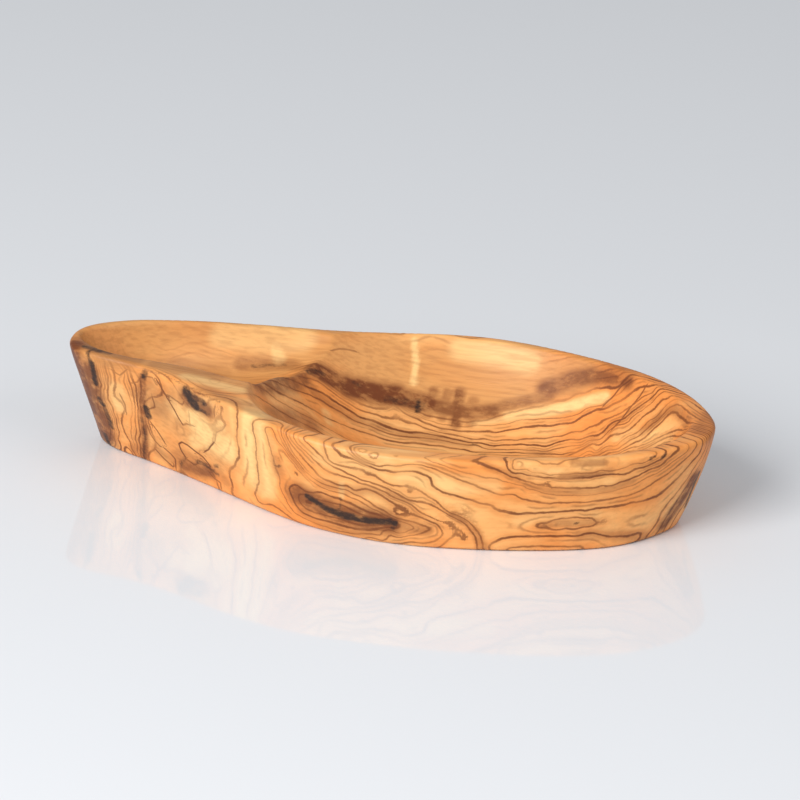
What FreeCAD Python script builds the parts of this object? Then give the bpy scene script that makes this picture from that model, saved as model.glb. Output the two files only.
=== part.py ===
import FreeCAD, Part
import math
import os

# An olive dish carved from one block of olive wood: a shallow hollow for the stones at the small end and
# a deep hollow for the olives at the big end, with a low ridge of the same wood between them.
# Millimetres, Z up. X runs along the dish from the small end to the big end, and Y from the near side to
# the far side. The origin is under the middle of the dish, on the face that it rests on.

# Rim, seen from above: its two ends, and how far it stands from the long axis at places along the dish.
# Places near an end are measured in from that end.
small_end_x = -120.3
small_end_y = 1.5
big_end_x = 120.8
big_end_y = -2.5
small_corner_x = small_end_x + 6.8
small_corner_near = 10.4
small_corner_far = 18.6
nose_x = small_end_x + 24.3
nose_near = 16.2
nose_far = 28.6
waist_x = small_end_x + 58.3
waist_near = 32.9
waist_far = 39.2
bulge_x = -24.0
bulge_near = 54.3
bulge_far = 52.0
belly_x = 14.0
belly_near = 60.2
belly_far = 65.0
shoulder_x = 60.0
shoulder_near = 52.9
shoulder_far = 57.0
corner_x = big_end_x - 21.8
corner_near = 36.3
corner_far = 35.0
big_corner_x = big_end_x - 7.3
big_corner_near = 22.3
big_corner_far = 18.0

# Rim, seen from the side: its height above the table at places along the dish.
small_end_height = 43.4
lobe_x = small_end_x + 35.3
lobe_height = 42.8
saddle_x = small_end_x + 62.3
saddle_height = 41.5
slope_x = -24.0
slope_height = 38.8
dip_x = 0.0
dip_height = 37.4
big_end_height = 38.1

# Outer wall: how far it leans out from the foot, and the height at which it stands upright.
lean_side = 10.0
lean_near = 7.8
lean_near_corner = 9.5
lean_near_big_corner = 12.0
lean_waist = 10.5
lean_nose = 14.0
lean_small_far = 7.5
lean_corner = 11.0
lean_big_end = 12.4
upright_height = 42.0
wall_curve_small_end = 1.1
wall_curve_big_end = 1.5

# The foot's own outline at the small end, where it is cut askew under the rim.
foot_tip_x = small_end_x + 10.3
foot_tip_y = 10.6
foot_near_x = small_end_x + 17.1
foot_near_y = 3.2
foot_far_x = small_end_x + 14.3
foot_far_y = 17.8

# Width of the rim between the outer wall and a hollow.
rim_near = 8.6
rim_far = 4.6
rim_corner_near = 6.0
rim_corner_far = 7.6
rim_big_end = 10.2
rim_small_end = 4.0
rim_small_far = 3.2

# Deep hollow: its depth under the rim, its flat floor and its edge along the ridge.
big_depth = 29.5
big_floor_x = 38.0
big_floor_y = 3.0
big_floor_length = 68.0
big_floor_width = 40.0
big_curve = 1.9
ridge_corner_x = -38.4
ridge_corner_y = -34.6
ridge_near_x = -43.4
ridge_near_y = -25.5
ridge_x = -44.4
ridge_y = -6.0
ridge_far_x = -43.0
ridge_far_y = 20.0

# Shallow hollow: its depth under the rim, its near edge, and how far it runs in over the ridge.
small_depth = 18.0
small_floor_x = small_end_x + 34.3
small_floor_y = 12.0
small_floor_length = 32.0
small_floor_width = 14.0
small_curve = 1.8
ledge_left_x = small_end_x + 17.3
ledge_left_y = -8.6
ledge_x = small_end_x + 36.3
ledge_y = -11.2
ledge_right_x = small_end_x + 58.3
ledge_right_y = -14.0
run_in_corner_x = -45.0
run_in_corner_y = -16.5
run_in_near_x = -35.5
run_in_near_y = 0.0
run_in_far_x = -16.0
run_in_far_y = 22.0
run_in_end_x = -12.0
run_in_end_y = 40.0

# Sanded edges: round the outside at the rim and the foot, and where the hollows meet rim and ridge.
outer_round = 1.8
inner_round = 1.2
least_sharp_angle = 15.0

# How finely the walls are laid out.
ring_points = 48
wall_rings = 6
hollow_rings = 7
tool_rise = 8.0


def vector(x, y, z=0.0):
    return FreeCAD.Vector(x, y, z)


def rim_stations():
    """Round the rim by the near side: each station's x and y, its wall's lean and its rim's width."""
    return {
        "small end": (small_end_x, small_end_y, lean_nose, rim_small_end),
        "small corner near": (small_corner_x, -small_corner_near, lean_nose, rim_small_end),
        "nose near": (nose_x, -nose_near, lean_nose, rim_small_end),
        "waist near": (waist_x, -waist_near, lean_waist, rim_near),
        "bulge near": (bulge_x, -bulge_near, lean_side, rim_near),
        "belly near": (belly_x, -belly_near, lean_near, rim_near),
        "shoulder near": (shoulder_x, -shoulder_near, lean_near, rim_corner_near),
        "corner near": (corner_x, -corner_near, lean_near_corner, rim_corner_near),
        "big corner near": (big_corner_x, -big_corner_near, lean_near_big_corner, rim_corner_near),
        "big end": (big_end_x, big_end_y, lean_big_end, rim_big_end),
        "big corner far": (big_corner_x, big_corner_far, lean_big_end, rim_corner_far),
        "corner far": (corner_x, corner_far, lean_corner, rim_corner_far),
        "shoulder far": (shoulder_x, shoulder_far, lean_side, rim_far),
        "belly far": (belly_x, belly_far, lean_side, rim_far),
        "bulge far": (bulge_x, bulge_far, lean_side, rim_far),
        "waist far": (waist_x, waist_far, lean_waist, rim_small_far),
        "nose far": (nose_x, nose_far, lean_small_far, rim_small_far),
        "small corner far": (small_corner_x, small_corner_far, lean_small_far, rim_small_end),
    }


def walk(points):
    """The distance walked at each point of a closed round, ending with the whole round."""
    distances = [0.0]
    for index, point in enumerate(points):
        following = points[(index + 1) % len(points)]
        distances.append(distances[-1] + point.distanceToPoint(following))
    return distances


def closed_curve(points, distances=None):
    curve = Part.BSplineCurve()
    curve.interpolate(Points=points, PeriodicFlag=True, Parameters=distances or walk(points))
    return curve


def moved_in(amounts):
    """Each station's point, moved into the dish square to the rim by its own amount."""
    stations = rim_stations()
    points = [vector(station[0], station[1]) for station in stations.values()]
    distances = walk(points)
    rim = closed_curve(points, distances)
    moved = {}
    for name, point, distance, amount in zip(stations, points, distances, amounts):
        tangent = rim.tangent(distance)[0]
        moved[name] = point + vector(-tangent.y, tangent.x) * amount
    return moved, distances


def rim_and_foot():
    """The widest outline of the dish and the outline of its foot, laid out in step."""
    leans = [lean for x, y, lean, width in rim_stations().values()]
    rim_points, distances = moved_in([0.0] * len(leans))
    foot_points, distances = moved_in(leans)
    foot_points["small end"] = vector(foot_tip_x, foot_tip_y)
    foot_points["small corner near"] = vector(foot_near_x, foot_near_y)
    foot_points["small corner far"] = vector(foot_far_x, foot_far_y)
    rim = closed_curve(list(rim_points.values()), distances)
    foot = closed_curve(list(foot_points.values()), distances)
    return rim, foot


def inner_points():
    """Each rim station moved in by its rim's width, by the station's name."""
    widths = [width for x, y, lean, width in rim_stations().values()]
    return moved_in(widths)[0]


def ring(points, height):
    raised = [point + vector(0, 0, height) for point in points]
    return Part.Wire(closed_curve(raised).toShape())


def along(curve):
    """Points at even steps along a closed curve."""
    whole = curve.LastParameter
    return [curve.value(whole * index / ring_points) for index in range(ring_points)]


def wall_curve(x):
    """How much the wall curves at a place along the dish: 1 is straight from the foot to the rim."""
    share = (x - small_end_x) / (big_end_x - small_end_x)
    return wall_curve_small_end + (wall_curve_big_end - wall_curve_small_end) * share


def outer_block():
    """The block with its leaning wall, before the rim is cut to height."""
    rim, foot = rim_and_foot()
    rim_points = along(rim)
    foot_points = along(foot)
    rings = []
    for index in range(wall_rings):
        share = index / (wall_rings - 1)
        points = []
        for top, base in zip(rim_points, foot_points):
            points.append(top + (base - top) * (1 - share) ** wall_curve(top.x))
        rings.append(ring(points, upright_height * share))
    rings.append(ring(rim_points, small_end_height + tool_rise))
    return Part.makeLoft(rings, True)


def rim_line():
    """The rim's height along the dish, as a curve over the long axis."""
    curve = Part.BSplineCurve()
    curve.interpolate([
        vector(small_end_x - tool_rise, 0.0, small_end_height),
        vector(lobe_x, 0.0, lobe_height),
        vector(saddle_x, 0.0, saddle_height),
        vector(slope_x, 0.0, slope_height),
        vector(dip_x, 0.0, dip_height),
        vector(shoulder_x, 0.0, (dip_height + big_end_height) / 2),
        vector(big_end_x + tool_rise, 0.0, big_end_height),
    ])
    return curve


def above_rim():
    """Everything above the rim, from side to side."""
    half_width = 2 * max(belly_near, belly_far)
    line = rim_line()
    top = small_end_height + 2 * tool_rise
    upper_start = vector(line.StartPoint.x, 0.0, top)
    upper_end = vector(line.EndPoint.x, 0.0, top)
    outline = Part.Wire([
        line.toShape(),
        Part.makeLine(line.EndPoint, upper_end),
        Part.makeLine(upper_end, upper_start),
        Part.makeLine(upper_start, line.StartPoint),
    ])
    face = Part.Face(outline)
    face.translate(vector(0, -half_width))
    return face.extrude(vector(0, 2 * half_width))


def floor_point(centre, half_length, half_width, direction):
    """Where a line from the middle of an oval floor crosses its edge."""
    reach = math.hypot(direction.x / half_length, direction.y / half_width)
    return centre + direction / reach


def scoop(edge, edge_height, depth, centre, floor_length, floor_width, curve_power):
    """A hollow as a solid: rings from above the rim down to a flat oval floor, rounding into it."""
    edge_points = along(edge)
    floor_points = []
    for point in edge_points:
        floor_points.append(floor_point(centre, floor_length / 2, floor_width / 2, point - centre))
    levels = [(1 + tool_rise / (depth * curve_power), edge_height + tool_rise)]
    for index in range(hollow_rings):
        share = 1 - index / (hollow_rings - 1)
        levels.append((share, edge_height - depth * (1 - share ** curve_power)))
    rings = []
    for share, height in levels:
        points = [low + (high - low) * share for low, high in zip(floor_points, edge_points)]
        rings.append(ring(points, height))
    return Part.makeLoft(rings, True)


def big_hollow():
    inner = inner_points()
    edge = closed_curve([
        vector(ridge_x, ridge_y),
        vector(ridge_near_x, ridge_near_y),
        vector(ridge_corner_x, ridge_corner_y),
        inner["bulge near"],
        inner["belly near"],
        inner["shoulder near"],
        inner["corner near"],
        inner["big end"],
        inner["corner far"],
        inner["shoulder far"],
        inner["belly far"],
        inner["bulge far"],
        vector(ridge_far_x, ridge_far_y),
    ])
    centre = vector(big_floor_x, big_floor_y)
    return scoop(edge, dip_height, big_depth, centre, big_floor_length, big_floor_width, big_curve)


def small_hollow():
    inner = inner_points()
    edge = closed_curve([
        inner["small end"],
        vector(ledge_left_x, ledge_left_y),
        vector(ledge_x, ledge_y),
        vector(ledge_right_x, ledge_right_y),
        vector(run_in_corner_x, run_in_corner_y),
        vector(run_in_near_x, run_in_near_y),
        vector(run_in_far_x, run_in_far_y),
        vector(run_in_end_x, run_in_end_y),
        inner["waist far"],
        inner["nose far"],
        inner["small corner far"],
    ])
    centre = vector(small_floor_x, small_floor_y)
    return scoop(edge, lobe_height, small_depth, centre, small_floor_length, small_floor_width, small_curve)


def is_sharp(shape, edge):
    """True where the two faces that meet at an edge turn by more than the least turn worth sanding."""
    faces = shape.ancestorsOfType(edge, Part.Face)
    if len(faces) < 2:
        return False
    middle = edge.valueAt((edge.FirstParameter + edge.LastParameter) / 2)
    normals = [face.normalAt(*face.Surface.parameter(middle)) for face in faces]
    return normals[0].getAngle(normals[1]) > math.radians(least_sharp_angle)


def sharp_edges(shape, lowest):
    return [edge for edge in shape.Edges if edge.BoundBox.ZMin > lowest and is_sharp(shape, edge)]


def dish_body():
    block = outer_block().cut(above_rim())
    block = block.makeFillet(outer_round, sharp_edges(block, -outer_round))
    body = block.cut(big_hollow()).cut(small_hollow())
    small_floor_height = lobe_height - small_depth
    return body.makeFillet(inner_round, sharp_edges(body, small_floor_height + inner_round))


def set_on_origin(shape):
    """Puts the middle of the shape's box over the origin, with its lowest face on the table."""
    box = shape.optimalBoundingBox(False, False)
    return shape.translated(vector(-box.Center.x, -box.Center.y, -box.ZMin))


os.makedirs("parts", exist_ok=True)
dish = set_on_origin(dish_body())
dish.exportStep("parts/dish_body.step")
print("valid", dish.isValid(), "solids", len(dish.Solids), "volume cm3", round(dish.Volume / 1000, 1))
box = dish.optimalBoundingBox(False, False)
print("size", round(box.XLength, 2), round(box.YLength, 2), round(box.ZLength, 2), "low", round(box.ZMin, 3))
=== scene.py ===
"""The look of an olive dish carved from one block of olive wood.

Metres, Z up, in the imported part's own frame: X runs along the dish from the small end to the big end, and
Y from the near side to the far side. Marks on the wood are in millimetres.
"""

import math

import bmesh
import bpy
import numpy as np
from mathutils import Matrix, Vector, noise
from mathutils.bvhtree import BVHTree


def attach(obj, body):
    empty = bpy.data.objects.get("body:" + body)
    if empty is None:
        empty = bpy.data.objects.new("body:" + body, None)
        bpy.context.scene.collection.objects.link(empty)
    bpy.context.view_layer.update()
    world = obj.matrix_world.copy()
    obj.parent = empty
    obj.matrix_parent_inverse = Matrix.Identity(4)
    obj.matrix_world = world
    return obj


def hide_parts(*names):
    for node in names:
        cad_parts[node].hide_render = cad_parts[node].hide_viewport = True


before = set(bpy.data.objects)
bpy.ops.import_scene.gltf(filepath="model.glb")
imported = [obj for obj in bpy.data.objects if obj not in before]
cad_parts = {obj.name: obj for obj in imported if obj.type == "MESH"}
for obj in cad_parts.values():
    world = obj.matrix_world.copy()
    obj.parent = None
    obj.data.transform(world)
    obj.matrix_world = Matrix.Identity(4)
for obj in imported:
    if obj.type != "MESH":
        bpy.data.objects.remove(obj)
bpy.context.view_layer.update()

mm = 0.001

# Camera: a long lens, turned towards the near side, looking down at the table.
camera_azimuth = math.radians(-12.13)
camera_pitch = math.radians(22.0)
camera_roll = math.radians(2.2)
camera_distance = 2623.2 * mm
camera_aim = Vector((-13.7, 80.0, 0.0)) * mm
camera_lens = 315.0
camera_clip = (0.01, 100.0)
sensor_width = 36.0

# Light: each lamp's name, place, width and power, and the pale room around.
lamps = (
    ("key", (-0.8, -1.6, 1.15), 1.2, 46.0),
    ("fill", (1.4, -0.6, 0.9), 1.0, 6.0),
)
room_colour = (0.93, 0.96, 1.0, 1.0)
room_strength = 0.44

# The table.
floor_reach = 12.0
floor_colour = (0.80, 0.81, 0.83)
floor_roughness = 0.05

# Mesh: how finely the wood is meshed, and how deep the unevenness is that the carving left.
merge_distance = 0.002 * mm
voxel_size = 1.05 * mm
uneven_depth = 0.25 * mm
uneven_width = 14.0 * mm

# How smoothly the growth rings run from one mark to the next.
ring_softness = 3.0 * mm

# Rings for each metre, at least, so that a line does not spread where the rings run flat.
least_slope = 50.0

# How many points are worked on at a time.
batch = 4000

# The sides that marks are read from: which two coordinates a mark gives, and the way it is pressed on.
sides = {
    "near": ((0, 2), Vector((0, 1, 0))),
    "far": ((0, 2), Vector((0, -1, 0))),
    "top": ((0, 1), Vector((0, 0, -1))),
    "under": ((0, 1), Vector((0, 0, 1))),
}
mark_reach = 0.3

# Growth lines: the ring's number, the side it is read from, and marks along it in millimetres. Numbers with
# a fraction hold the rings between two lines.
growth_lines = (
    # the near wall under the rim at the big end: nested bows
    (0.7, "near", ((62, 36.4), (67, 35.6), (72, 35.4), (78, 35.4), (86, 35.7), (94, 36.6), (80, 37.2))),
    (2.5, "near", ((46, 38), (49, 37.4), (52, 36.2), (54, 35.2))),
    (1.6, "near", ((55.5, 37.6), (56, 36.6))),
    (3.5, "near", ((36, 37.4), (42, 34.6), (48, 33.6))),
    (5.5, "near", ((33, 28.2), (36, 26.8), (40, 25.4), (45, 23.8), (50, 22.2), (56, 20.2),
                   (62, 19.4), (72, 19.2), (84, 19.6))),
    (4.5, "near", ((12, 34.4), (20, 35.6), (46, 28.8), (54, 26.6), (62, 24.8))),
    (6.5, "near", ((32.5, 22.6), (36, 19.6), (40, 17.2), (44, 14.4), (47.5, 10.4), (49, 7))),
    (1, "near", ((57, 35.9), (60, 34.5), (65, 33.3), (70, 32.5), (75, 32.6), (80, 33), (85, 33.2),
                 (90, 33.6), (95, 34.5), (100, 35.4), (103, 36.4))),
    (2, "near", ((56, 34.4), (60, 32.9), (65, 32), (70, 31.4), (75, 31.1), (80, 31.2), (85, 31.6),
                 (90, 32.3), (98, 33.3), (103, 34.4), (106.5, 35.8), (107.4, 37))),
    (3, "near", ((43, 37), (47.5, 36), (52, 34.2), (56, 32.2), (60, 30.3), (65, 28.7), (70, 27.4),
                 (75, 27), (80, 26.9), (85, 26.9), (90, 27.3), (94, 28.5), (98, 29.9), (103, 32.3),
                 (108, 35), (111, 37.4))),
    (4, "near", ((2, 37.1), (5, 36.7), (10, 36.6), (15, 36.9), (22, 37), (26, 37), (29, 36.2),
                 (33, 34.9), (36.5, 33.8), (40, 32.9), (45, 31.9), (50, 30.7), (55, 29.6), (60, 28.3),
                 (65, 26.2), (70, 24.6), (75, 24), (80, 23.9), (85, 24.2), (90, 24.7), (95, 25.9),
                 (100, 27.9), (105, 30.2), (108, 32.3), (111, 34.2), (114, 36.5))),
    (5, "near", ((-1, 37.2), (0, 36.3), (2, 34.9), (5, 33.4), (10, 32.1), (15, 33.1), (20, 34.2),
                 (25, 34.7), (30, 33.5), (33, 32.3), (36, 31), (38.5, 29.9), (41, 28.8), (45, 27.3),
                 (50, 25.4), (55, 24.1), (60, 22.9), (65, 21.7), (70, 20.9), (75, 20.9), (80, 21),
                 (85, 21.3), (90, 21.5), (95, 22.2), (98, 23.1), (102, 25), (105, 27), (109, 29.5),
                 (112, 31.8), (115, 34.5))),
    (6, "near", ((-7.5, 37.3), (-6, 36), (-4.5, 34.9), (-2, 33.9), (2, 33.2), (5, 32.2), (8, 31.2),
                 (11, 30.8), (14, 30.6), (18, 31.2), (22, 31.9), (25, 31.4), (27.5, 30.2),
                 (28.7, 28.6), (29.3, 27), (31, 25.4), (33, 24.2), (36, 23.3), (40, 22.3), (44, 20.9),
                 (48, 19.9), (50, 19.3), (51, 18.3), (53, 17.3), (56, 16.5), (60, 16.2), (65, 16.5),
                 (70, 17), (75, 17.4), (80, 17.8), (85, 18), (90, 18.1), (95, 18.6), (100, 19),
                 (104, 19.9), (107, 21.7), (109, 23.5), (111, 25.6), (113, 28), (115, 30.5), (117, 33))),
    (6, "near", ((49, 2), (50, 3.8), (53, 5.3), (56.5, 6.4), (60, 6.7), (65, 6.8), (70, 6.9),
                 (75, 6.9), (80, 7), (85, 7.2), (89, 5.6), (93, 5), (97, 4.3), (99, 2.5))),
    (5, "near", ((56, 1.8), (60, 2.4), (65, 2.5), (70, 2.4), (75, 2.2), (80, 1.8))),
    (6.5, "near", ((51, 14), (55, 11), (60, 11.5), (50, 8), (92, 12), (98, 12), (98, 8), (92, 8.5))),
    # the eye at the middle of the bows
    (7, "near", ((65.5, 11.4), (68, 12.6), (71, 13.6), (75, 14.3), (79, 14.7), (82, 14), (85, 13),
                 (87.5, 12.2), (85, 11.2), (82, 10.4), (79, 9.8), (75, 9.9), (70, 10.2), (67, 10.6))),
    (7.5, "near", ((72, 12), (79, 12.2), (83, 12.2))),
    # between the bows and the knot
    (7, "near", ((-11, 37.5), (-10.3, 35.5), (-9.5, 33), (-8, 30.9), (-5, 30.2), (0, 30), (5, 29),
                 (10, 27.1), (12.5, 25.8), (16, 25.1), (20, 25.3), (24, 24.4), (27, 22.6),
                 (29, 21.2), (31, 19.8), (32.5, 18), (34, 16.8), (36, 15.6), (38.5, 14.5), (41, 13),
                 (43, 11), (44.5, 8.9), (45.6, 6.5), (46.4, 4), (47, 1.5))),
    (8, "near", ((-18.5, 37.5), (-16.5, 36), (-14, 34), (-11, 31.8), (-8.5, 29.6), (-4, 28.2),
                 (-1, 27.1), (2, 26), (5, 25.2), (8, 24.7), (12, 23.9), (14, 23), (17, 21.5),
                 (20, 20), (22, 19.5), (25, 19.2), (28, 18.9), (30, 18.1), (32, 16.9), (34, 15.6),
                 (37, 13.9), (40, 11.8), (42, 9.5), (43.5, 7), (44.5, 4), (45, 1.5))),
    (9, "near", ((-22.5, 37), (-20, 34.5), (-17, 32), (-14, 29.6), (-12, 28.2), (-10, 26.9),
                 (-8, 26.2), (-4, 25.9), (0, 25), (5, 23.8), (10, 22.6), (14, 21), (18, 19.3),
                 (21, 18.2), (23, 16.5), (25, 15), (28, 13.6), (31, 12), (34, 10.6), (36.3, 9.3),
                 (37.4, 7.8), (36.5, 6), (35, 4.4), (33, 2.5))),
    (10, "near", ((-25.3, 37), (-23.5, 34.2), (-21, 32), (-19, 30), (-17, 27.9), (-14.5, 25.3),
                  (-12, 23.4), (-9, 22.4), (-5, 21.7), (0, 21.2), (4, 21.8), (8, 21.5), (11, 20.3),
                  (14, 18.6), (17, 16.9), (20, 15.2), (23, 13.6), (26, 12.5), (29, 11.2), (31, 10),
                  (32, 8.6), (32.8, 7), (32, 5), (29, 3), (24, 2))),
    (11, "near", ((-27.5, 37.5), (-26.3, 34.8), (-25.2, 32.7), (-23.5, 30), (-22, 28.3), (-20, 26),
                  (-18, 24.2), (-15.5, 22.3), (-13, 21), (-10, 20.4), (-6, 20.3), (-2, 20.1),
                  (2, 18.7), (6, 16.8), (10, 14.8), (13, 13.1), (16, 11.7), (20, 11), (24, 10.3),
                  (27, 9.3), (27.5, 7.8), (25, 6), (20, 4.6), (14, 3.6), (8, 1.6))),
    # round the knot
    (12, "near", ((-31, 37.6), (-29.5, 34.5), (-28, 32.8), (-26, 30.8), (-24, 28.4), (-22, 26.2),
                  (-20, 24.2), (-17.5, 22), (-15, 20.2), (-11, 18.9), (-6, 18.4), (-2, 17.6),
                  (2, 16.4), (6, 14.8), (10, 13.2), (14, 11.6), (19, 10), (22, 8.7), (21.5, 7.2),
                  (16, 5.4), (10, 3.2), (2, 2), (-6, 1.9), (-14, 2.4), (-20, 3.4), (-24, 5.2),
                  (-27, 9.5), (-29, 15.5), (-30, 21), (-31.5, 27), (-33, 33), (-34, 38))),
    (12.4, "near", ((-28, 26), (-26, 22), (-25, 19))),
    (13, "near", ((-24, 16.2), (-18, 15.6), (-14, 16.3), (-9, 16.2), (-4, 15.8), (0, 14.6), (4, 13),
                  (8, 12), (12, 11), (16, 9.7), (17, 8.4), (14, 7.2), (10, 6.2), (6, 4.8), (2, 4.2),
                  (-2, 4.4), (-8, 4.7), (-14, 4.9), (-20, 6), (-23.5, 10), (-24.8, 14))),
    (14.6, "near", ((-18, 13), (-12, 11), (-7, 9.7), (-2, 8.9), (4, 8.6), (10, 8.8), (14, 9.2))),
    # the pale stripes and the burl; the pale band at x = -40 is a painted highlight on the wall's lit waist
    (11, "near", ((-38.5, 39), (-38.5, 30), (-38.3, 20), (-38.6, 10), (-38, 3))),
    (10, "near", ((-46.3, 39.7), (-46.2, 36), (-46.4, 32), (-46.7, 28), (-46.2, 24), (-46.5, 20),
                  (-47.5, 17), (-48.5, 15), (-50.2, 13), (-51, 10), (-50, 5), (-50, 1.5))),
    (9, "near", ((-52.8, 38.5), (-53, 35), (-51.8, 32), (-53, 29.3), (-56, 26.5), (-57, 23.5),
                 (-57.6, 21), (-59, 18.5), (-61, 16.5), (-64, 14), (-62, 11), (-59, 8), (-57, 3))),
    (8, "near", ((-74, 27.5), (-72, 24.8), (-70.5, 20), (-74, 16), (-74, 12), (-73, 7), (-74.5, 2))),
    # the wavy upright lines at the small end
    (7, "near", ((-86, 40), (-88.2, 35), (-88.8, 30), (-89.4, 26), (-89, 20), (-88.5, 14),
                 (-88.3, 10), (-89.5, 5), (-89.8, 1.5))),
    (6, "near", ((-91.5, 36), (-90.5, 31), (-90.6, 26), (-90.6, 20), (-90.4, 14), (-91, 10), (-91.2, 2))),
    (5, "near", ((-93.5, 38), (-92.6, 33), (-92, 28), (-91.8, 22), (-92, 17), (-92.3, 12), (-92.5, 4))),
    (4, "near", ((-94.8, 38), (-95.2, 34), (-94, 30), (-93, 26), (-93, 21), (-94, 15), (-94.2, 9),
                 (-93.6, 3))),
    (3, "near", ((-98.5, 37), (-98.6, 31), (-97.3, 27), (-96, 24), (-96, 20.5), (-97.2, 17.5),
                 (-97.7, 14), (-97, 11), (-95.6, 7.5), (-94.8, 4), (-94, 2))),
    (2, "near", ((-102.4, 38), (-101.8, 34), (-102.2, 30), (-102.8, 26), (-101.8, 22.5), (-100.6, 18),
                 (-100.2, 12), (-100.2, 7), (-99.8, 2))),
    (1, "near", ((-104.5, 40), (-104, 35), (-103.6, 30), (-104.4, 26), (-103.4, 21), (-102, 16),
                 (-101.5, 9), (-102, 3))),
    (0, "near", ((-106.5, 40), (-106, 34), (-105.5, 28), (-105.5, 22), (-104.6, 16), (-103.6, 10),
                 (-104.5, 4))),
    (-2, "near", ((-112, 38), (-111, 26), (-109.5, 14), (-108, 6))),
    # the big end, outside
    (7, "near", ((101, 2), (103, 5.3), (104.6, 8.5), (105.7, 11.7), (107.5, 14.5), (109.5, 17.3),
                 (111.5, 20.3), (113.3, 23.2), (114.8, 26.2), (117, 30))),
    (8, "near", ((104.5, 3), (106.6, 7.6), (108.5, 11.5), (111, 16), (113, 19.6), (115.2, 24))),
    (9, "near", ((107.8, 7), (110, 11), (112.5, 15.4), (114.5, 20))),
    # the deep hollow: lines that sweep along its far wall and rise to the big end
    (8, "top", ((83, 16), (88, 14), (92, 12), (97, 10), (101, 7.5), (104, 4), (106.5, 0), (109, -4))),
    (9, "top", ((78, 18), (84, 16.8), (89, 15), (94, 13), (98, 11), (101, 9), (104, 6.5), (106, 4),
                (108, 0.5), (110, -3))),
    (10, "top", ((70, 20.4), (76, 19), (82, 17.8), (88, 17.5), (94, 17.3), (99, 17), (102.5, 14.5),
                 (106, 9), (109, 3))),
    (11, "top", ((62, 21.6), (68, 21.1), (75, 20.2), (82, 19.3), (90, 19), (96, 18.9), (100, 18.6),
                 (104, 15), (107.5, 9.5))),
    (12, "top", ((30, 18.4), (36, 20), (46, 22), (56, 22.4), (64, 22), (72, 21.4), (80, 20.8),
                 (88, 20.6), (95, 20.4), (100, 20.2))),
    (13, "top", ((20, 20.6), (28, 20.4), (34, 21.6), (42, 23.4), (52, 23.8), (60, 23.6), (66, 24.2),
                 (71, 25), (76, 24.8), (82, 23.8), (86, 24), (90, 24.3), (94, 24), (98, 22.6))),
    (14, "top", ((4, 21.8), (10, 23.4), (16, 24.2), (22, 24.4), (27, 24.9), (30, 24.2), (35, 24),
                 (40, 25), (45, 25.5), (52, 25.2), (58, 26.3), (62, 26.5), (66, 26.1), (72, 26),
                 (79, 27.2), (85, 27), (90, 26.3), (94, 26.4))),
    (15, "top", ((-3, 22.4), (3, 23.8), (8, 25.6), (14, 26.2), (20, 26.2), (26, 26.2), (32, 26),
                 (38, 27.3), (43, 28.2), (50, 27.8), (56, 28.6), (62, 28.9), (68, 28.2), (74, 28),
                 (80, 28.3), (85, 28.4), (92, 27.8))),
    (16, "top", ((-4, 27), (2, 27.8), (8, 28), (14, 28), (20, 28.2), (28, 28.8), (35, 29), (41, 30),
                 (46, 30.6), (52, 30.6), (58, 30.9), (65, 30.6), (71, 30.9), (76, 30.9), (82, 30.5),
                 (87, 30.3), (91, 29))),
    (17, "top", ((-6, 31.5), (-3, 31.4), (0, 30.6), (5, 30.4), (10, 30.1), (15, 30), (20, 30.6),
                 (25, 31.8), (30, 32.5), (38, 34), (44, 35), (50, 35.1), (57, 34.8), (64, 34.8),
                 (70, 35), (76, 34.4), (82, 34), (87, 32.8))),
    (18, "top", ((-8, 31), (-6.6, 33.6), (-4, 33), (0, 32), (6, 31.6), (12, 31.6), (18, 32.4),
                 (24, 34), (30, 35), (37, 36.3), (45, 37.2), (50, 37.3), (56, 36.7), (63, 36.2),
                 (70, 36), (75, 36.3), (80, 36.8), (84, 36))),
    (19, "top", ((22, 35), (27, 36.4), (32, 38.4), (37, 40), (44, 41), (52, 41.6), (60, 41.8),
                 (67, 41.2), (72, 39.8), (77, 38))),
    (20, "top", ((-8, 35), (0, 37), (8, 38), (16, 38.6), (24, 39.5), (32, 41.4), (40, 42.6),
                 (50, 43.6), (60, 43.8), (68, 43), (75, 40.8))),
    (23, "top", ((-20, 37), (-10, 40), (0, 43), (10, 45), (20, 46), (30, 47), (40, 48), (52, 48))),
    (26, "top", ((-25, 43), (-12, 47.5), (0, 51), (12, 53.5), (24, 54.5), (36, 54))),
    # the left of the deep hollow and the ridge's flank
    (17, "top", ((-9, 28.5), (-12, 27), (-16, 25.8), (-21, 24.8), (-27, 24.4), (-33, 23.6), (-36, 21.5))),
    (16, "top", ((-8, 25.4), (-13, 24.2), (-18, 22.8), (-24, 22.2), (-30, 21.6), (-35, 18.5), (-38, 15))),
    (15, "top", ((-9, 21.8), (-14, 20.6), (-20, 19.8), (-26, 19), (-31, 17), (-35, 13.5), (-39, 8.5),
                 (-42, 3.5))),
    (14, "top", ((-6, 19), (-12, 18.3), (-16, 17), (-21, 16.4), (-26, 15.3), (-30, 13.6), (-34, 9.5),
                 (-38, 3), (-42, -3), (-45, -6))),
    (13, "top", ((-20, 10.5), (-24, 8), (-28, 5.5), (-32, 2.5), (-36, -2), (-40, -6.5), (-45, -10))),
    (12, "top", ((-19, 3), (-24, 0.5), (-29, -2.5), (-34, -6), (-39, -10), (-44, -13))),
    (11, "top", ((-26, -6), (-31, -9.5), (-36, -13.5), (-41, -18), (-45.5, -24))),
    (10.5, "top", ((-40, -43), (-34, -47), (-46, -36))),
    (12, "top", ((10, 14), (0, 12), (-8, 8.5), (-14, 4.5))),
    # the ridge and the shallow hollow
    (12, "top", ((-52, -24), (-52, -14), (-56, -10))),
    (13, "top", ((-60, -26), (-62, -18), (-70, -18), (-80, -17), (-90, -15))),
    (16, "top", ((-50, 12), (-60, 10), (-70, 8), (-80, 6), (-90, 4))),
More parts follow.
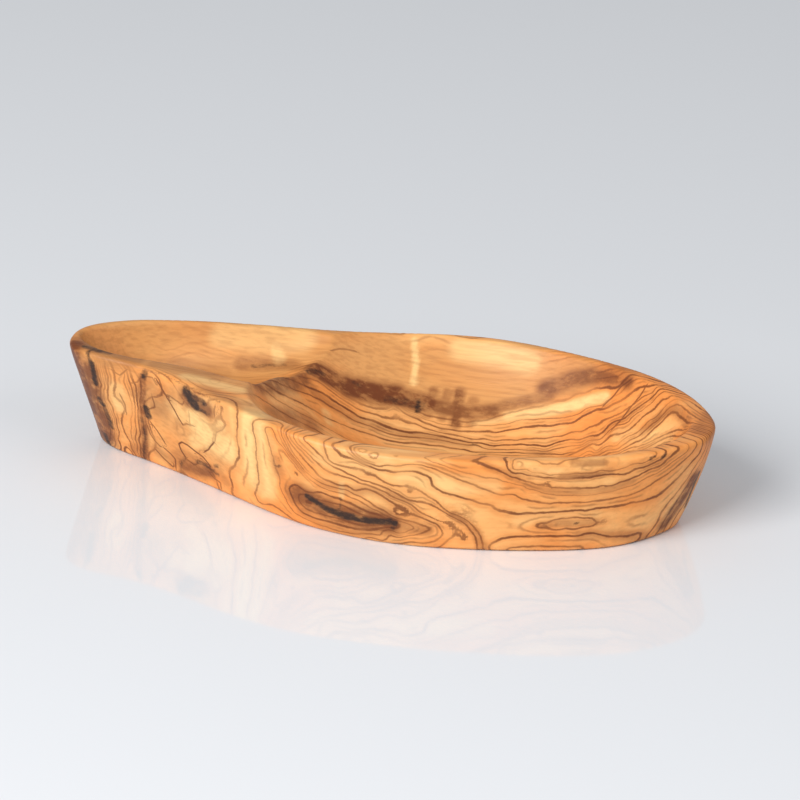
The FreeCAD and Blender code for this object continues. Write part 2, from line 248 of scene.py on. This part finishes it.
    (19, "top", ((-52, 22), (-60, 20), (-72, 20), (-84, 19), (-95, 16), (-104, 12))),
    (22, "top", ((-45, 31), (-55, 30), (-68, 27), (-82, 25), (-95, 21), (-106, 16))),
    (25, "top", ((-40, 39), (-52, 36), (-66, 32.5), (-80, 29), (-94, 24.5), (-106, 19.5))),
    # the far wall, the foot and the ends, which the figure runs into
    (26, "far", ((-90, 36), (-60, 37), (-30, 36), (0, 34), (30, 34), (60, 36))),
    (24, "far", ((-95, 26), (-70, 28), (-45, 25), (-20, 27), (5, 24), (30, 26), (55, 27), (80, 30))),
    (21, "far", ((-95, 14), (-72, 17), (-50, 13), (-25, 16), (0, 12), (25, 15), (50, 14), (75, 18),
                 (95, 26))),
    (18, "far", ((-98, 4), (-75, 6), (-50, 3), (-20, 5), (10, 2), (40, 4), (70, 5), (95, 12))),
    (16, "under", ((-80, 18), (-40, 32), (0, 38), (40, 37), (80, 20))),
    (13, "under", ((-85, 10), (-40, 14), (0, 18), (40, 20), (85, 8))),
    (10, "under", ((-40, -12), (0, -10), (40, -6), (80, -8))),
    (8, "under", ((-30, -28), (10, -32), (45, -30), (75, -24))),
)

# Patches: side, radius, strength, and marks along the middle in millimetres. A patch ends at patch_end radii.
patch_end = 1.5
black_patches = (
    ("near", 1.5, 1.0, ((-17.5, 13.4), (-14, 12), (-11, 10.6), (-7, 9.6), (-3, 9.1))),
    ("near", 1.9, 1.0, ((-8, 9.7), (-4, 9), (0, 8.8))),
    ("near", 1.5, 1.0, ((-3, 8.9), (3, 8.6), (9, 9), (13, 9.6), (15.5, 9.4))),
    ("near", 1.2, 0.7, ((14, 10.4), (16, 8.3), (15, 7.2))),
    ("near", 0.8, 0.6, ((-4.6, 16), (-4.8, 12))),
    ("near", 1.7, 0.95, ((-87, 24.8), (-86.2, 21.6))),
    ("near", 2.6, 1.0, ((-68.5, 38.6), (-67, 36.4), (-65, 34.6))),
    ("near", 1.5, 0.75, ((-67, 38), (-63.5, 38), (-60.8, 37.2))),
    ("near", 1.1, 0.7, ((-64, 34), (-61, 33.4), (-59, 33))),
    ("near", 1.5, 0.95, ((-108.6, 39), (-108, 35), (-107.6, 30))),
    ("near", 1.1, 0.8, ((-110, 43), (-109, 39.5))),
    ("near", 1.5, 0.9, ((-106.8, 22.6), (-105.4, 20.8))),
    ("near", 1.4, 0.75, ((-104.4, 18.5), (-103.2, 14), (-103, 11))),
    ("near", 1.7, 0.85, ((-106.6, 5), (-105.6, 1.5))),
    ("near", 1.4, 0.85, ((-86.5, 40.8), (-87.3, 38.6))),
    ("near", 0.6, 0.55, ((-87, 41.6), (-80, 42.1), (-72, 41.6), (-64, 40.9), (-54, 40.4))),
    ("near", 1.0, 0.6, ((-89.3, 20), (-88.4, 14), (-88.4, 10), (-89.6, 5), (-89.8, 1))),
    ("near", 1.0, 0.7, ((-66, 9.6), (-62, 9.4), (-58, 8.2), (-56.5, 7.6))),
    ("near", 1.1, 0.7, ((-58, 11), (-56.6, 11.4))),
    ("near", 1.0, 0.55, ((-71, 8.8), (-72.5, 6.5), (-73.5, 3))),
    ("near", 1.5, 0.85, ((111.8, 9), (113.4, 14), (115, 19), (116.4, 23))),
    ("near", 0.9, 0.6, ((107.6, 9), (108.6, 12), (110.8, 15.5))),
    ("near", 0.8, 0.75, ((102.6, 36.6), (104, 37.3))),
    ("near", 0.9, 0.8, ((106.4, 36.2), (107.6, 37))),
    ("near", 0.7, 0.6, ((-31.4, 25), (-31, 23), (-29.6, 22.2), (-28.4, 23.4))),
    ("near", 0.6, 0.5, ((-29.4, 27.4), (-28.4, 25.6))),
    ("near", 0.6, 0.75, ((78, 12.2), (79.4, 12.4))),
    ("top", 1.2, 0.9, ((2.8, 33.6), (2.6, 37))),
    ("top", 1.4, 0.6, ((-36, 21), (-34, 23.6), (-31, 25.6))),
    ("top", 0.9, 0.6, ((-21, 31.2), (-18, 31.6))),
    ("top", 2.2, 0.55, ((-8, 32.5), (-2, 35), (4, 36))),
    ("top", 1.0, 0.5, ((-58, 26.4), (-52, 27.8), (-46, 28.2))),
    ("top", 1.8, 0.75, ((-112, -9.5), (-107, -11.8), (-102.5, -12.8))),
    ("top", 1.0, 0.6, ((26, 25.2), (28, 24.8))),
    ("top", 1.0, 0.5, ((30, 18.6), (32.5, 19.2))),
)
brown_patches = (
    ("near", 6.0, 0.8, ((-21, 13), (-14, 11), (-6, 9.5), (4, 9), (13, 9.4))),
    ("near", 3.5, 0.5, ((-24, 15), (-20, 8), (-12, 5), (-2, 4.6), (6, 5))),
    ("near", 2.6, 0.55, ((16, 10), (22, 8.5), (27, 7.8))),
    ("near", 2.2, 0.35, ((-12, 20.6), (0, 20.6), (8, 21.4), (16, 17.2), (23, 13.6))),
    ("near", 6.5, 0.95, ((-117, 40), (-114, 26), (-111, 10), (-109, 3))),
    ("near", 4.0, 0.85, ((-110, 36), (-107, 18), (-105, 6))),
    ("near", 2.0, 0.8, ((-87.5, 38), (-88, 30), (-88.5, 20), (-88.6, 8), (-89.4, 2))),
    ("near", 5.0, 0.45, ((-85, 34), (-82, 28), (-78, 34))),
    ("near", 4.0, 0.8, ((-69, 36), (-64, 36), (-60, 35))),
    ("near", 3.4, 0.8, ((-72, 5.4), (-66, 6), (-60, 7.4))),
    ("near", 2.6, 0.4, ((-84, 7), (-78, 4), (-72, 10), (-56, 8), (-53, 6))),
    ("near", 3.4, 0.85, ((106, 5), (109, 10), (112.6, 16), (115, 22))),
    ("near", 1.6, 0.35, ((62, 28.4), (70, 26), (80, 25.4), (90, 26), (97, 28.4))),
    ("near", 1.4, 0.45, ((74, 32), (82, 32.2), (90, 33))),
    ("near", 1.5, 0.4, ((48, 36), (54, 33.4), (59, 31))),
    ("near", 1.6, 0.45, ((66.5, 11.4), (72, 12.2), (79, 12.2), (85.5, 12.2))),
    ("near", 1.4, 0.6, ((77.5, 37.4), (82, 37.2), (88, 37))),
    ("near", 3.0, 0.35, ((-30, 25), (-29, 20))),
    ("near", 2.0, 0.5, ((37, 14.8), (42, 11.6), (45, 7), (46.4, 2))),
    ("near", 2.4, 0.4, ((80, 6.8), (86, 7), (95, 4.6), (100, 2))),
    ("top", 4.2, 0.95, ((-35, 24), (-27, 27), (-18, 29.6), (-10, 33), (-2, 36), (6, 37.4))),
    ("top", 3.6, 0.8, ((6, 37.4), (14, 38), (22, 38.4), (30, 40))),
    ("top", 2.4, 0.7, ((28, 40.6), (38, 42.6), (50, 43.6))),
    ("top", 2.0, 0.7, ((7, 34), (6.4, 38), (7, 42))),
    ("top", 1.8, 0.6, ((12.4, 34), (12, 43))),
    ("top", 2.3, 0.85, ((17.6, 33), (17, 38), (16.4, 44))),
    ("top", 2.4, 0.6, ((22.5, 35), (22, 42))),
    ("top", 5.0, 1.0, ((-22, 28.6), (-14, 32), (-6, 35.4))),
    ("top", 3.6, 0.8, ((48, 45.4), (58, 45.8), (67, 44), (75, 40.6), (80, 37.4))),
    ("top", 4.6, 0.75, ((-46, -14), (-42, -4), (-39, 6), (-37, 16))),
    ("top", 4.6, 0.6, ((-38, -24), (-34, -12), (-28, -5))),
    ("top", 3.0, 0.6, ((-62, 26), (-52, 28), (-44, 28), (-38, 24))),
    ("top", 2.6, 0.45, ((-40, 17), (-30, 15), (-20, 17), (-8, 20))),
    ("top", 2.4, 0.4, ((-8, 21), (2, 22), (12, 24), (24, 25))),
    ("top", 4.0, 0.55, ((-112, -8), (-104, -13), (-92, -16))),
    ("top", 3.6, 0.45, ((-62, -33), (-52, -36), (-44, -41), (-34, -46))),
    ("top", 3.0, 0.35, ((-84, -17), (-72, -18), (-60, -20))),
    ("top", 4.4, 0.5, ((117, 8), (117.5, 0), (117, -8))),
    ("top", 2.2, 0.5, ((90, 19.6), (96, 19.4), (101, 17), (105, 11), (109, 2))),
    ("top", 3.0, 0.3, ((-100, 14), (-84, 20), (-68, 22))),
)
# Pale wood, and painted highlights where a slope or a bend of the wall faces the lamps: side, radius,
# strength and marks in millimetres.
pale_and_highlight_patches = (
    # painted highlight: the lit waist of the near wall
    ("near", 6.5, 0.9, ((-40, 38), (-39.5, 26), (-37, 12))),
    ("near", 4.0, 0.5, ((-34, 32), (-33, 16))),
    ("near", 6.0, 0.9, ((-64, 28), (-60, 23), (-52, 22))),
    ("near", 3.0, 0.6, ((-54, 30), (-66, 18))),
    ("near", 3.0, 0.8, ((-99, 30), (-98, 22))),
    ("near", 3.4, 0.5, ((-76, 31), (-72, 28))),
    ("near", 4.0, 0.55, ((-12, 33), (0, 32), (12, 34))),
    ("near", 4.0, 0.5, ((20, 29), (34, 28), (50, 28))),
    ("near", 3.0, 0.35, ((60, 14), (70, 16), (84, 16))),
    ("near", 4.0, 0.35, ((60, 35.6), (70, 34.8))),
    ("near", 1.0, 0.9, ((-4, 22.6), (-4.1, 17))),
    ("top", 2.2, 1.0, ((36, 38.4), (44, 39.2), (52, 39.4), (60, 39), (67, 38.4), (72, 37.2))),
    ("top", 1.3, 0.8, ((24, 34.8), (30, 36.4), (36, 38))),
    ("top", 1.2, 0.9, ((-3.4, 53), (-1.4, 48), (-0.6, 42))),
    ("top", 4.4, 0.7, ((14, 55), (28, 55), (40, 52.4))),
    # painted highlights: the shallow hollow's slope rising to the ridge, lit from the left
    ("top", 2.4, 0.7, ((-51, 33), (-49, 30.5))),
    ("top", 5.0, 0.5, ((-70, 29), (-56, 33), (-42, 37))),
    # painted highlight: the flat top beside the shallow hollow, lit from above
    ("top", 3.2, 0.6, ((-70, -24), (-60, -26), (-50, -28))),
    # painted highlight: the lit top of the ridge
    ("top", 2.0, 0.5, ((-26, 10), (-24, 6))),
    # painted highlight: the deep hollow's wall at the big end, where it faces the light
    ("top", 3.0, 0.5, ((80, 24), (92, 16), (102, 4))),
)
# Where the wood is cut along the grain and shows only fine straight lines.
plain_patches = (
    ("top", 11.0, 1.0, ((-44, 36), (-20, 42), (0, 46), (20, 50), (40, 52))),
    ("top", 9.0, 1.0, ((-20, 32), (0, 40), (20, 43), (40, 47), (60, 46))),
    ("top", 12.0, 1.0, ((-112, 4), (-95, 12), (-80, 16), (-64, 20), (-52, 28))),
    ("top", 12.0, 1.0, ((-114, 10), (-100, 20), (-84, 27), (-66, 34), (-48, 40), (-30, 46))),
    ("top", 10.0, 1.0, ((-100, 0), (-80, 0), (-62, 2))),
    ("top", 6.0, 0.9, ((-110, -11), (-96, -14), (-80, -17), (-62, -22), (-50, -24))),
    ("near", 7.0, 0.75, ((-80, 24), (-66, 22), (-56, 16), (-70, 34))),
    ("near", 7.0, 0.6, ((-80, 10), (-66, 8), (-56, 30))),
)

# Fine dark strokes in the burl, which follow no growth ring: strength, side and marks in millimetres.
strokes = (
    (0.9, "near", ((-81.5, 39), (-79.5, 36.2), (-77.5, 33), (-75, 29.5), (-73, 26.2), (-71, 23.6))),
    (0.6, "near", ((-79, 34.2), (-76, 34.2), (-73.5, 33.2), (-71, 32.3), (-70, 34))),
    (0.5, "near", ((-71, 23.6), (-69.5, 24.8), (-66.4, 25.2))),
    (0.35, "near", ((-68, 30), (-67.9, 25.6))),
    (0.8, "near", ((-85.6, 19.2), (-83.4, 17), (-81.4, 14.4), (-79.8, 12.2))),
    (0.7, "near", ((-87, 17), (-86, 13.6), (-84, 11), (-82, 9.6))),
    (0.8, "near", ((-80, 9.4), (-77.4, 8), (-75.6, 6.4), (-75.7, 2.4))),
    (0.8, "near", ((-83.8, 7), (-81.5, 5), (-79, 3.4), (-77, 2.4))),
    (0.95, "near", ((-71, 9.4), (-72.6, 11.6), (-73.5, 14.2), (-72, 15.6), (-69.4, 15.2), (-66, 13.8),
                    (-63, 12.8), (-61, 11.2), (-59.5, 9.6))),
    (0.9, "near", ((-62, 15.6), (-60.2, 17.2), (-58.8, 19.6), (-57.4, 21.6))),
    (0.45, "near", ((-51.6, 31.8), (-53, 29.2), (-56, 26.8), (-56.8, 22.6))),
    (0.5, "near", ((-56, 38), (-56.6, 36), (-56.4, 33.8))),
    (0.5, "near", ((-53, 38.4), (-53.6, 35.4), (-53, 33))),
    (0.5, "near", ((-66, 8.8), (-65.2, 10.6), (-63, 10.2), (-60, 9))),
    (0.6, "near", ((-70, 8.4), (-67, 7.4), (-65.4, 8.8))),
    (0.6, "near", ((-60.5, 7), (-58.4, 5), (-55.6, 4.4), (-55.4, 1.8))),
    (0.7, "near", ((-84, 31), (-83, 27), (-85, 25.4))),
    (0.5, "near", ((-92.5, 34.4), (-90, 35.6), (-88.6, 37.8), (-85.8, 39.4), (-83.4, 39.6), (-82, 37.4))),
    (0.5, "near", ((-100, 38), (-97, 36.6), (-94.6, 39.4))),
    (0.6, "near", ((-95.8, 20.2), (-95.9, 24), (-97.4, 27.4))),
    (0.5, "top", ((-30.4, 35.4), (-28, 37.8), (-25.4, 39.4), (-22.6, 40.6))),
    (0.5, "top", ((62, 22.6), (66, 23.8), (70, 25))),
    (0.8, "top", ((77, 27), (80, 28.2), (82.4, 29.8), (86, 31), (88, 32.2))),
    (0.8, "top", ((72, 35.4), (75, 36.2), (77.6, 37.4), (81, 37.2))),
)
# Distances in millimetres: the farthest that is stored, and where a stroke has faded out.
stroke_limit = 3.0
stroke_end = 1.9

# The figure's widths on the surface, in millimetres: how far rings waver, how half a line's thickness grows
# with noise and from ring to ring, and how soft the edges of lines, strokes and the glow beside them are.
ring_waver = 1.5
line_growth = 0.55
line_own_growth = 0.2
line_start = -0.28
line_edge = 0.42
faint_edge = 0.7
glow_half_width = 0.25
glow_edge = 2.2
stroke_waver = 0.6
stroke_edges = (0.12, 0.62)

# Where the faint lines and the glow lie between the rings, as parts of a ring.
faint_offset = 0.5
glow_offset = -0.06

# How strong each part of the figure is.
line_least = 0.55
line_own = 0.35
line_faded = (0.55, 1.0)
faint_share = (0.0, 0.5)
glow_share = 0.34
plain_calm = 0.92
plain_share = 0.75
cloud_share = 0.55
grain_share = 0.10
grain_share_plain = 0.12
pore_share = 0.10
stain_least = 0.55
stain_blotch = 0.42
heart_blotch = (0.2, 0.9)
heart_share = (0.1, 0.75)
knot_torn = 1.3
knot_start = -0.85
knot_share = (0.0, 0.96)

# Noise: how often it changes in a metre along X, Y and Z, and the values between which it shows.
waver_scale = (160, 260, 260)
thickness_scale = (45, 60, 60)
fade_scale = (90, 130, 130)
fade_range = (0.3, 0.6)
faint_scale = (70, 90, 90)
faint_range = (0.45, 0.62)
grain_scale = (4, 700, 800)
grain_range = (0.38, 0.72)
pore_scale = (60, 1900, 1900)
pore_range = (0.60, 0.78)
cloud_scale = (22, 40, 40)
cloud_range = (0.35, 0.65)
blotch_scale = (110, 200, 200)
blotch_range = (0.3, 0.62)
heart_range = (0.6, 1.0)
torn_scale = (420, 700, 700)
knot_range = (0.0, 0.85)

# The oiled finish.
gloss = 0.32
least_roughness = 0.36
grain_roughness = 0.16
line_roughness = 0.08
grain_relief = 0.5
line_relief = -0.35
pore_relief = -0.6
relief_strength = 0.22
relief_depth = 0.25 * mm

# Colours, as linear values.
orange = (0.88, 0.325, 0.075)
deep_orange = (0.62, 0.165, 0.022)
pale_yellow = (0.93, 0.59, 0.235)
tan = (0.58, 0.27, 0.085)
red_brown = (0.200, 0.056, 0.013)
line_brown = (0.130, 0.030, 0.006)
knot_black = (0.020, 0.009, 0.006)


def camera():
    """The camera at the photograph's viewing angle."""
    forward = Vector((
        math.sin(camera_azimuth) * math.cos(camera_pitch),
        math.cos(camera_azimuth) * math.cos(camera_pitch),
        -math.sin(camera_pitch),
    ))
    level_right = Vector((math.cos(camera_azimuth), -math.sin(camera_azimuth), 0.0))
    level_up = level_right.cross(forward)
    right = level_right * math.cos(camera_roll) + level_up * math.sin(camera_roll)
    up = right.cross(forward)
    data = bpy.data.cameras.new("camera")
    data.lens = camera_lens
    data.sensor_width = sensor_width
    data.clip_start, data.clip_end = camera_clip
    made = bpy.data.objects.new("camera", data)
    place = camera_aim - forward * camera_distance
    made.matrix_world = Matrix.Translation(place) @ Matrix((right, up, -forward)).transposed().to_4x4()
    bpy.context.scene.collection.objects.link(made)
    bpy.context.scene.camera = made


def lamp(name, place, size, power):
    """A square lamp that points at the middle of the foot."""
    data = bpy.data.lights.new(name, "AREA")
    data.size = size
    data.energy = power
    made = bpy.data.objects.new(name, data)
    made.location = place
    made.rotation_mode = "QUATERNION"
    made.rotation_quaternion = (-Vector(place)).to_track_quat("-Z", "Y")
    bpy.context.scene.collection.objects.link(made)


def light():
    """Plain soft studio light: a large lamp from the front left, a weaker one opposite, and a pale room."""
    for name, place, size, power in lamps:
        lamp(name, place, size, power)
    world = bpy.data.worlds.new("room")
    world.use_nodes = True
    background = world.node_tree.nodes["Background"]
    background.inputs["Color"].default_value = room_colour
    background.inputs["Strength"].default_value = room_strength
    bpy.context.scene.world = world


class Graph:
    """A material's nodes, made by short calls that each give back an output."""

    def __init__(self, name):
        self.material = bpy.data.materials.new(name)
        self.material.use_nodes = True
        self.tree = self.material.node_tree
        self.shader = self.tree.nodes["Principled BSDF"]

    def node(self, kind, values=(), **settings):
        made = self.tree.nodes.new(kind)
        for setting, value in settings.items():
            setattr(made, setting, value)
        for socket, value in dict(values).items():
            self.put(made.inputs[socket], value)
        return made

    def put(self, socket, value):
        if isinstance(value, bpy.types.NodeSocket):
            self.tree.links.new(value, socket)
        elif isinstance(value, tuple) and len(value) == 3 and socket.type == "RGBA":
            socket.default_value = value + (1.0,)
        else:
            socket.default_value = value

    def math(self, operation, first, second=0.0, third=0.0):
        values = {0: first, 1: second, 2: third}
        return self.node("ShaderNodeMath", values, operation=operation).outputs[0]

    def times(self, first, second):
        return self.math("MULTIPLY", first, second)

    def line(self, value, rise, start):
        """The value times a rise, and a start added."""
        return self.math("MULTIPLY_ADD", value, rise, start)

    def attribute(self, name):
        return self.node("ShaderNodeAttribute", attribute_name=name).outputs["Fac"]

    def remap(self, value, span, to_span=(0.0, 1.0)):
        """The value eased from one span to another, and held at its ends."""
        values = {
            "Value": value,
            "From Min": span[0],
            "From Max": span[1],
            "To Min": to_span[0],
            "To Max": to_span[1],
        }
        return self.node("ShaderNodeMapRange", values, interpolation_type="SMOOTHSTEP").outputs[0]

    def mix(self, share, first, second):
        """The first colour, with a share of the second over it."""
        made = self.node("ShaderNodeMix", data_type="RGBA")
        self.put(made.inputs[0], share)
        self.put(made.inputs[6], first)
        self.put(made.inputs[7], second)
        return made.outputs[2]

    def place(self, scale):
        """Object coordinates stretched by a scale for each axis."""
        coordinates = self.node("ShaderNodeTexCoord").outputs["Object"]
        return self.node("ShaderNodeMapping", {"Vector": coordinates, "Scale": scale}).outputs[0]

    def noise(self, scale, detail=3.0, roughness=0.5):
        values = {"Vector": self.place(scale), "Scale": 1.0, "Detail": detail, "Roughness": roughness}
        return self.node("ShaderNodeTexNoise", values).outputs["Fac"]


def floor():
    """The pale, slightly glossy table, under the foot."""
    mesh = bpy.data.meshes.new("floor")
    builder = bmesh.new()
    bmesh.ops.create_grid(builder, x_segments=1, y_segments=1, size=floor_reach)
    builder.to_mesh(mesh)
    builder.free()
    made = bpy.data.objects.new("floor", mesh)
    bpy.context.scene.collection.objects.link(made)
    look = Graph("floor")
    look.put(look.shader.inputs["Base Color"], floor_colour)
    look.put(look.shader.inputs["Roughness"], floor_roughness)
    mesh.materials.append(look.material)


def merged_copy(node):
    """A copy of the solid's mesh with its faces joined, and the surface that it makes."""
    builder = bmesh.new()
    builder.from_mesh(node.data)
    bmesh.ops.remove_doubles(builder, verts=builder.verts, dist=merge_distance)
    mesh = bpy.data.meshes.new("merged")
    builder.to_mesh(mesh)
    surface = BVHTree.FromBMesh(builder)
    builder.free()
    return mesh, surface


def even_mesh(node):
    """The carved block as an even mesh on the solid's own surface, and that surface."""
    mesh, surface = merged_copy(node)
    made = bpy.data.objects.new("dish", mesh)
    bpy.context.scene.collection.objects.link(made)
    remesh = made.modifiers.new("even", "REMESH")
    remesh.mode = "VOXEL"
    remesh.voxel_size = voxel_size
    evaluated = made.evaluated_get(bpy.context.evaluated_depsgraph_get())
    even = bpy.data.meshes.new_from_object(evaluated)
    made.modifiers.clear()
    made.data = even
    even.materials.clear()
    for vertex in even.vertices:
        place, normal, index, distance = surface.find_nearest(vertex.co)
        roughly = noise.noise(place / uneven_width)
        vertex.co = place - normal * uneven_depth * (1.0 + roughly) / 2
    for polygon in even.polygons:
        polygon.use_smooth = True
    return made, surface


def pressed_on(surface, side, marks):
    """Marks read from one side, pressed on to the wood."""
    axes, way = sides[side]
    places = []
    for mark in marks:
        start = -way * mark_reach
        for axis, value in zip(axes, mark):
            start[axis] = value * mm
        place = surface.ray_cast(start, way)[0]
        if place is not None:
            places.append(place)
    return np.array(places)


def vertex_array(mesh, name):
    """The vertices' places or normals, one row for each vertex."""
    values = np.zeros(len(mesh.vertices) * 3)
    mesh.vertices.foreach_get(name, values)
    return values.reshape(-1, 3)


def store(mesh, name, values):
    """A value for each vertex, held by the mesh for the material."""
    mesh.attributes.new(name, "FLOAT", "POINT").data.foreach_set("value", values.astype(np.float32))


def ring_marks(surface):
    """The places of all the marks on the growth lines, and their rings' numbers."""
    places = []
    numbers = []
    for number, side, marks in growth_lines:
        found = pressed_on(surface, side, marks)
        places.extend(found)
        numbers.extend([number] * len(found))
    return np.array(places), np.array(numbers)


def distances(first, second):
    """Softened distances from each of the first places to each of the second."""
    return np.sqrt(((first[:, None, :] - second[None, :, :]) ** 2).sum(2) + ring_softness ** 2)


def ring_field(surface, points, normals):
    """The ring's number at each point, and the width of one ring along the surface there."""
    places, numbers = ring_marks(surface)
    count = len(places)
    system = np.zeros((count + 4, count + 4))
    system[:count, :count] = distances(places, places)
    system[:count, count] = 1.0
    system[:count, count + 1:] = places
    system[count:, :count] = system[:count, count:].T
    weights = np.linalg.solve(system, np.append(numbers, np.zeros(4)))
    rings = []
    widths = []
    for start in range(0, len(points), batch):
        part = points[start:start + batch]
        apart = distances(part, places)
        rings.append(apart @ weights[:count] + weights[count] + part @ weights[count + 1:])
        pulls = weights[:count] / apart
        slope = part * pulls.sum(1)[:, None] - pulls @ places + weights[count + 1:]
        outward = normals[start:start + batch]
        slope -= outward * (slope * outward).sum(1)[:, None]
        widths.append(1.0 / (np.linalg.norm(slope, axis=1) + least_slope))
    return np.concatenate(rings), np.concatenate(widths)


def from_run(points, places):
    """How far each point is from a run of marks, with the nearest place on it and the run's way there."""
    nearest = np.full(len(points), np.inf)
    feet = np.zeros_like(points)
    ways = np.zeros_like(points)
    for start, end in zip(places[:-1], places[1:]):
        way = end - start
        share = np.clip((points - start) @ way / (way @ way), 0.0, 1.0)
        foot = start + share[:, None] * way
        apart = np.linalg.norm(points - foot, axis=1)
        closer = apart < nearest
        nearest[closer] = apart[closer]
        feet[closer] = foot[closer]
        ways[closer] = way
    return nearest, feet, ways


def patch_field(surface, points, patches):
    """The strongest patch at each point, fading from its middle to past its radius."""
    field = np.zeros(len(points))
    for side, radius, strength, marks in patches:
        places = pressed_on(surface, side, marks)
        nearest = from_run(points, places)[0]
        share = np.clip(patch_end - nearest / (radius * mm), 0.0, 1.0)
        field = np.maximum(field, strength * share * share * (3 - 2 * share))
    return field


def stroke_field(surface, points, normals):
    """Each point's distance from the nearest stroke in millimetres, signed by the side, and its strength."""
    nearest = np.full(len(points), stroke_limit)
    signed = np.full(len(points), stroke_limit)
    strengths = np.zeros(len(points))
    for strength, side, marks in strokes:
        places = pressed_on(surface, side, marks)
        apart, feet, ways = from_run(points, places)
        apart = apart / mm
        closer = apart < nearest
        turned = (np.cross(ways, points - feet) * normals).sum(1)
        signed[closer] = (apart * np.where(turned < 0, -1.0, 1.0))[closer]
        strengths[closer] = (strength * np.clip(stroke_end - apart, 0.0, 1.0))[closer]
        nearest[closer] = apart[closer]
    return signed, strengths


def dish_body():
    """The dish with its growth rings, patches and strokes held by the mesh."""
    made, surface = even_mesh(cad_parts["dish_body"])
    mesh = made.data
    points = vertex_array(mesh, "co")
    normals = vertex_array(mesh, "normal")
    rings, widths = ring_field(surface, points, normals)
    signed, strengths = stroke_field(surface, points, normals)
    store(mesh, "ring", rings)
    store(mesh, "ring_width", widths / mm)
    store(mesh, "stroke", signed)
    store(mesh, "stroke_strength", strengths)
    kinds = {"black": black_patches, "brown": brown_patches, "pale": pale_and_highlight_patches, "plain": plain_patches}
    for name, patches in kinds.items():
        store(mesh, name, patch_field(surface, points, patches))
    mesh.materials.append(wood())
    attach(made, "root")
    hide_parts("dish_body")
    return made


def line_at(look, ring, width, half_width, edge):
    """A line at each whole ring number: 1 in its middle, whatever the ring's width on the surface."""
    off = look.math("ABSOLUTE", look.math("SUBTRACT", ring, look.math("ROUND", ring)))
    off = look.math("SUBTRACT", look.times(off, width), half_width)
    return look.remap(off, (0.0, edge), (1.0, 0.0))


def growth_figure(look):
    """How dark the growth lines and strokes are, and how strong the faint lines and the glow are."""
    width = look.attribute("ring_width")
    calm = look.line(look.attribute("plain"), -plain_calm, 1.0)
    waver = look.line(look.noise(waver_scale, 4.0, 0.6), ring_waver, -ring_waver / 2)
    waver = look.math("DIVIDE", waver, width)
    ring = look.math("ADD", look.attribute("ring"), waver)

    # Each ring has its own darkness and thickness, and both change along it.
    whole = look.math("ROUND", ring)
    own = look.node("ShaderNodeTexWhiteNoise", {"W": whole}, noise_dimensions="1D").outputs["Value"]
    thick = look.line(own, line_own_growth, line_start)
    thick = look.line(look.noise(thickness_scale, 2.0), line_growth, thick)
    fade = look.remap(look.noise(fade_scale), fade_range, line_faded)
    strength = look.times(fade, look.line(own, line_own, line_least))
    lines = look.times(line_at(look, ring, width, thick, line_edge), strength)

    # The strokes of the burl waver as the rings do.
    stroke = look.math("ABSOLUTE", look.line(waver, stroke_waver, look.attribute("stroke")))
    stroke = look.times(look.remap(stroke, stroke_edges, (1.0, 0.0)), look.attribute("stroke_strength"))
    dark = look.math("MAXIMUM", look.times(lines, calm), stroke)

    faint = line_at(look, look.math("ADD", ring, faint_offset), width, 0.0, faint_edge)
    faint = look.times(faint, look.remap(look.noise(faint_scale), faint_range, faint_share))
    glow = line_at(look, look.math("ADD", ring, glow_offset), width, glow_half_width, glow_edge)
    return dark, look.times(faint, calm), look.times(look.times(glow, calm), glow_share)


def wood_colour(look, dark, faint, glow, grain, pores):
    """The colour, from the ground up: clouds, pale stripes and painted highlights, grain, stain, growth lines
    and knots.
    """
    plain = look.attribute("plain")
    brown = look.attribute("brown")
    blotch = look.remap(look.noise(blotch_scale, 5.0, 0.65), blotch_range)
    cloud = look.remap(look.noise(cloud_scale), cloud_range)
    ground = look.mix(cloud, orange, look.mix(cloud_share, orange, pale_yellow))
    ground = look.mix(look.times(plain, plain_share), ground, tan)
    # Pale wood, and painted highlights on the slopes and the wall's waist that face the lamps.
    ground = look.mix(look.attribute("pale"), ground, pale_yellow)
    ground = look.mix(glow, ground, deep_orange)
    share = look.line(plain, grain_share_plain, grain_share)
    ground = look.mix(look.times(look.remap(grain, grain_range), share), ground, red_brown)
    ground = look.mix(faint, ground, red_brown)
    stain = look.times(brown, look.line(blotch, stain_blotch, stain_least))
    ground = look.mix(stain, ground, red_brown)
    heart = look.times(look.remap(brown, heart_range), look.remap(blotch, heart_blotch, heart_share))
    ground = look.mix(heart, ground, line_brown)
    ground = look.mix(look.times(pores, pore_share), ground, red_brown)
    ground = look.mix(dark, ground, line_brown)
    knot = look.math("ADD", look.attribute("black"), knot_start)
    knot = look.line(look.noise(torn_scale, 6.0, 0.7), knot_torn, knot)
    return look.mix(look.remap(knot, knot_range, knot_share), ground, knot_black)


def finish(look, dark, grain, pores):
    """An oiled satin finish, a little duller on the lines, with the grain and pores in low relief."""
    rough = look.line(grain, grain_roughness, least_roughness)
    look.put(look.shader.inputs["Roughness"], look.line(dark, line_roughness, rough))
    look.put(look.shader.inputs["Specular IOR Level"], gloss)
    relief = look.line(grain, grain_relief, look.times(dark, line_relief))
    relief = look.line(pores, pore_relief, relief)
    values = {"Height": relief, "Strength": relief_strength, "Distance": relief_depth}
    bump = look.node("ShaderNodeBump", values)
    look.put(look.shader.inputs["Normal"], bump.outputs["Normal"])


def wood():
    """Olive wood: dark growth lines over orange and pale wood, with painted highlights and knots, sanded
    smooth and oiled.
    """
    look = Graph("olive_wood")
    dark, faint, glow = growth_figure(look)
    grain = look.noise(grain_scale, 2.0, 0.4)
    pores = look.remap(look.noise(pore_scale, 1.0), pore_range)
    look.put(look.shader.inputs["Base Color"], wood_colour(look, dark, faint, glow, grain, pores))
    finish(look, dark, grain, pores)
    return look.material


camera()
light()
floor()
dish = dish_body()
print("triangles", sum(len(polygon.vertices) - 2 for polygon in dish.data.polygons))

bpy.context.scene.view_settings.view_transform = "Standard"
